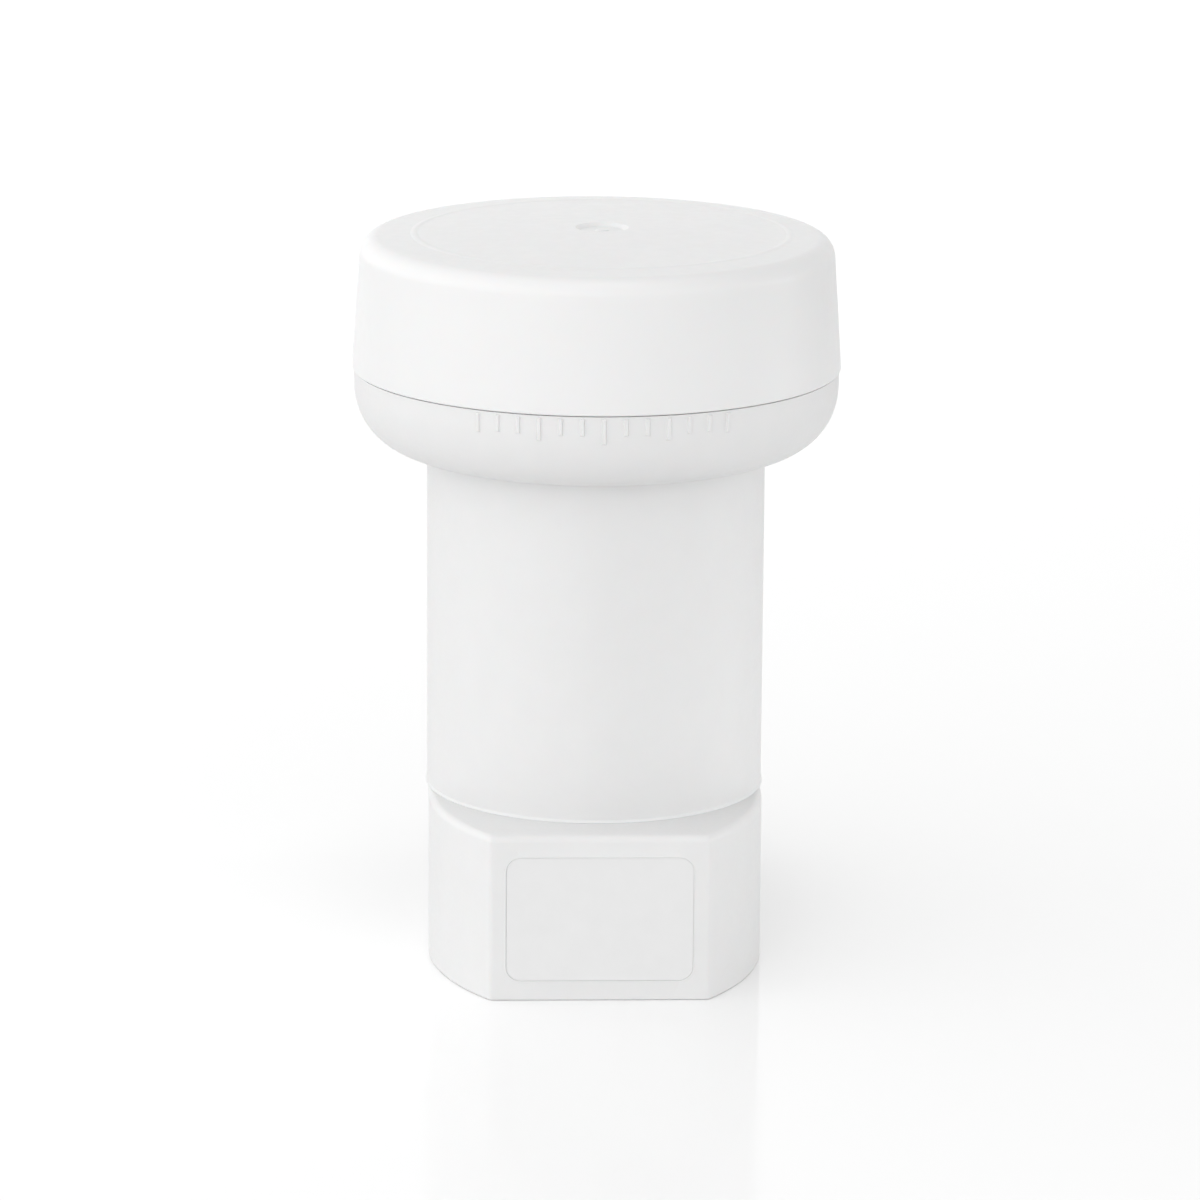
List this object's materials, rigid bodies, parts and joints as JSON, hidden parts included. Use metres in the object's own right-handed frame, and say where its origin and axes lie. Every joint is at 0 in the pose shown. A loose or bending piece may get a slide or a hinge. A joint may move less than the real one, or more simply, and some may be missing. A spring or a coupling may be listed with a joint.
{
  "type": "satellite low-noise block",
  "caption": "Universal single satellite LNB with a 40 mm clamp neck, push-fit horn cap, skew scale, boxed rear housing and an F connector under a sliding weather boot.",
  "frame": {"origin": "the point of the flat rear face that lies on the neck's axis", "axes": "+Z along the neck towards the horn cap, -Y out of the label face, +Y out of the F connector, +X to the right when the label is seen upright"},
  "size_m": [0.0576, 0.0673, 0.0869],
  "materials": {
    "cap": "satin white moulded plastic",
    "shell": "light grey moulded plastic with a fine spark texture",
    "label": "blank matt film",
    "seal": "silicone rubber",
    "casting": "as-cast",
    "shield": "pressed sheet",
    "steel": "zinc plated",
    "nickel": "nickel plated",
    "brass": "turned",
    "ptfe": "smooth",
    "board": "solder mask",
    "chip": "moulded epoxy",
    "ceramic": "fired ceramic"
  },
  "bodies": {
    "receiver": {"front_shroud": "shell", "rear_housing": "shell", "rear_lid": "shell", "lid_seal": "seal", "rating_label": "label", "cap_seal": "seal", "horn_throat": "casting", "scalar_horn": "casting", "neck_seal": "seal", "chassis_casting": "casting", "circuit_board": "board", "shield_cover": "shield", "v_probe": "brass", "h_probe": "brass", "v_probe_bush": "ptfe", "h_probe_bush": "ptfe", "septum_bar": "steel", "resonator_low": "ceramic", "resonator_high": "ceramic", "lna_fet_v": "chip", "lna_fet_h": "chip", "second_stage_fet": "chip", "mixer_chip": "chip", "bias_chip": "chip", "if_amplifier": "chip", "regulator": "chip", "shield_screw_1": "steel", "shield_screw_2": "steel", "shield_screw_3": "steel", "shield_screw_4": "steel", "lid_screw_1": "steel", "lid_screw_2": "steel", "lid_screw_3": "steel", "lid_screw_4": "steel", "f_connector_body": "nickel", "f_insulator": "ptfe", "f_contact": "brass", "f_seal_ring": "seal"},
    "cap": {"horn_cap": "cap"},
    "boot": {"weather_boot": "shell"},
    "low_screw": {"tuning_screw_low": "brass"},
    "high_screw": {"tuning_screw_high": "brass"}
  },
  "joints": [
    {"name": "cap_pull", "type": "slide", "parent": "receiver", "child": "cap", "axis": [0, 0, 1], "range_m": [0, 0.02]},
    {"name": "boot_slide", "type": "slide", "parent": "receiver", "child": "boot", "axis": [0, 1, 0], "range_m": [0, 0.009]},
    {"name": "low_band_tuning", "type": "hinge", "parent": "receiver", "child": "low_screw", "pos_m": [-0.0068, -0.009, 0.009], "axis": [0, 0, 1], "range_deg": [-180, 180]},
    {"name": "high_band_tuning", "type": "hinge", "parent": "receiver", "child": "high_screw", "pos_m": [0.0068, -0.009, 0.009], "axis": [0, 0, 1], "range_deg": [-180, 180]}
  ]
}
